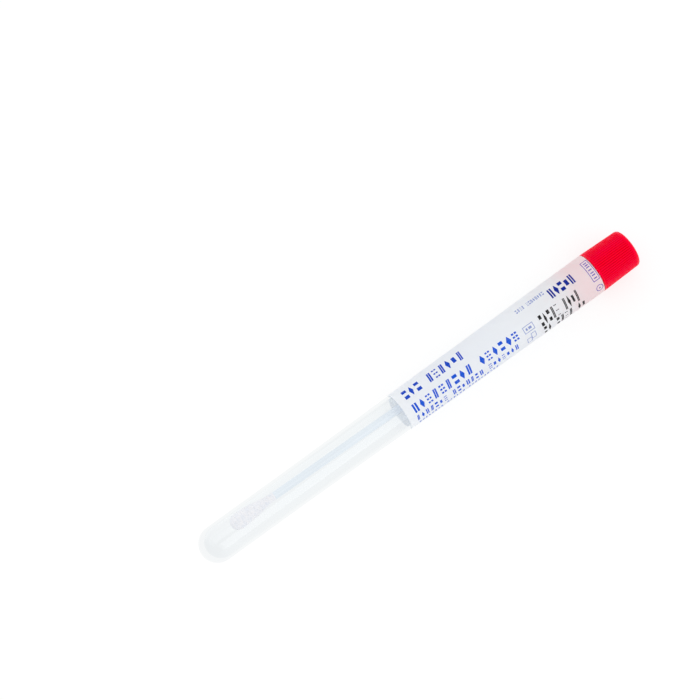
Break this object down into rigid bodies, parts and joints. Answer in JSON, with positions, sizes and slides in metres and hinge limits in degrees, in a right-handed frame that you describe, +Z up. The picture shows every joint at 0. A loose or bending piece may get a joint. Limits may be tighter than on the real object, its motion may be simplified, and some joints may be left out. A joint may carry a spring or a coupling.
{
  "type": "specimen swab tube",
  "caption": "Round-bottomed clear transport tube with a film label and a ribbed push-in cap that carries a fibre-tipped swab; the cap and swab pull out together.",
  "frame": {"origin": "on the ground under the middle of the tube with its cap, as it lies on its side", "axes": "+X from the round tip towards the cap, +Z up; the tube's own axis climbs 0.35 degrees towards the cap, because the tube tapers and lies on its round tip and its cap's rim"},
  "size_m": [0.1641, 0.0134, 0.0135],
  "materials": {
    "tube_clear": "clear moulded polypropylene, glossy",
    "label_film": "translucent white film, satin, printed in blue and black",
    "cap_red": "moulded polyethylene, semi-gloss",
    "shaft_white": "moulded white polystyrene",
    "bud_fibre": "wound viscose fibre"
  },
  "bodies": {
    "tube": {"tube": "tube_clear", "label": "label_film"},
    "cap_and_swab": {"cap": "cap_red", "swab_shaft": "shaft_white", "swab_bud": "bud_fibre"}
  },
  "joints": [
    {"name": "cap_pull", "type": "slide", "parent": "tube", "child": "cap_and_swab", "axis": [1, 0, 0.0061], "range_m": [0, 0.15]}
  ]
}
